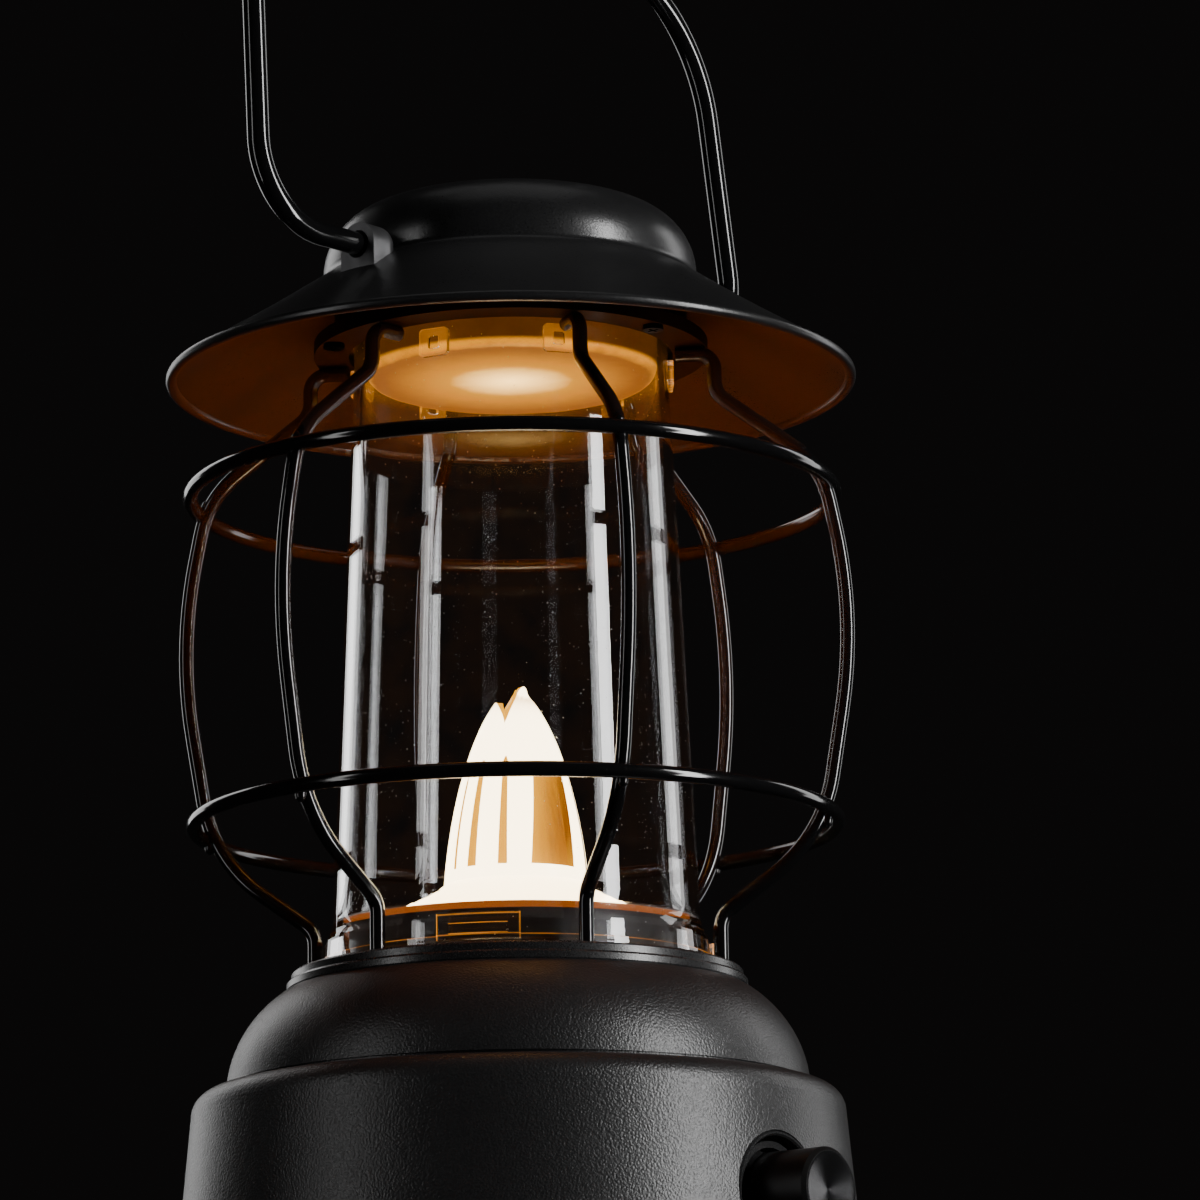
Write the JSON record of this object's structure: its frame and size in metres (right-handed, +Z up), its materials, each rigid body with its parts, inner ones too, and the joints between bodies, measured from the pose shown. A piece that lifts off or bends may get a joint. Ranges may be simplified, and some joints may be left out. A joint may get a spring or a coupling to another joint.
{
  "type": "barn lantern",
  "caption": "Rechargeable barn-style lantern with a round base and dimmer knob, clear chimney with an LED flame, wire cage, spun hat with a second lamp, and swinging wire handle.",
  "frame": {"origin": "centre of the rubber foot's resting face", "axes": "+Z up along the lantern's axis, -Y towards the dimmer knob, handle pivots along X"},
  "size_m": [0.15, 0.148, 0.3121],
  "materials": {
    "base_black": "satin black moulding with a fine spark texture",
    "hat_coat": "satin black powder coat on spun sheet",
    "coated_metal": "semi-gloss black coat",
    "wire_gloss": "gloss black enamel on steel wire",
    "lug_metal": "dark satin coat on a cast lug",
    "rubber_black": "matte moulded rubber",
    "seal_rubber": "soft silicone seal",
    "steel": "zinc-plated steel",
    "black_steel": "black oxide steel",
    "shaft_metal": "turned steel",
    "holder_plastic": "moulded plastic",
    "cell_wrap": "shrink-sleeved cell",
    "lead_sleeve": "silicone lead sleeve",
    "circuit_board": "solder-masked board",
    "white_board": "white solder-masked board",
    "component_black": "moulded component cases",
    "led_lens": "phosphor-coated emitter",
    "port_metal": "drawn steel connector shell",
    "light_pipe": "clear moulded light pipe",
    "dimmer_case": "moulded case with a plated bushing",
    "knob_black": "semi-gloss knob body",
    "knob_metal": "spun aluminium face",
    "module_plastic": "moulded carrier",
    "clear_amber": "clear platform lit from its edge",
    "dome_white": "milky diffusing dome",
    "flame_clear": "translucent light guide",
    "chimney_clear": "clear polished tube",
    "diffuser_frost": "frosted diffuser",
    "spreader_metal": "machined aluminium"
  },
  "bodies": {
    "root": {"base_dome": "base_black", "base_rim_ring": "coated_metal", "base_shell": "base_black", "battery_cell_1": "cell_wrap", "battery_cell_2": "cell_wrap", "battery_holder": "holder_plastic", "battery_leads": "lead_sleeve", "board_parts": "component_black", "board_screws": "steel", "bottom_cover": "base_black", "bottom_screws": "steel", "cage_nuts": "steel", "cage_ring_lower": "wire_gloss", "cage_ring_upper": "wire_gloss", "cage_top_plate": "coated_metal", "cage_wire_1": "wire_gloss", "cage_wire_2": "wire_gloss", "cage_wire_3": "wire_gloss", "cage_wire_4": "wire_gloss", "cage_wire_5": "wire_gloss", "cage_wire_6": "wire_gloss", "charge_board": "circuit_board", "charge_light_pipe": "light_pipe", "chimney": "chimney_clear", "chimney_gasket": "seal_rubber", "control_board": "circuit_board", "dimmer_body": "dimmer_case", "dimmer_nut": "steel", "dome_screws": "steel", "flame_base": "module_plastic", "flame_board": "white_board", "flame_dome": "dome_white", "flame_leds": "led_lens", "flame_light_guide": "flame_clear", "flame_platform": "clear_amber", "handle_lug_left": "lug_metal", "handle_lug_right": "lug_metal", "hat_nut": "steel", "hat_shell": "hat_coat", "hat_stud": "steel", "heat_spreader": "spreader_metal", "knob_dish": "base_black", "lamp_housing": "coated_metal", "plate_screws": "black_steel", "rubber_foot": "rubber_black", "top_diffuser": "diffuser_frost", "top_gasket": "seal_rubber", "top_led_board": "white_board", "top_leds": "led_lens", "usb_port": "port_metal"},
    "bail": {"handle": "wire_gloss"},
    "dial": {"knob": "knob_black", "knob_cap": "knob_metal", "dimmer_shaft": "shaft_metal"},
    "port_flap": {"port_cover": "rubber_black"}
  },
  "joints": [
    {"name": "bail_swing", "type": "hinge", "parent": "root", "child": "bail", "pos_m": [0, 0, 0.2245], "axis": [1, 0, 0], "range_deg": [-124, 134]},
    {"name": "dial_turn", "type": "hinge", "parent": "root", "child": "dial", "pos_m": [0, -0.0636, 0.034], "axis": [0, -1, 0], "range_deg": [-200, 80]},
    {"name": "port_flap_hinge", "type": "hinge", "parent": "root", "child": "port_flap", "pos_m": [0, 0.0672, 0.0199], "axis": [-1, 0, 0], "range_deg": [0, 110]}
  ]
}
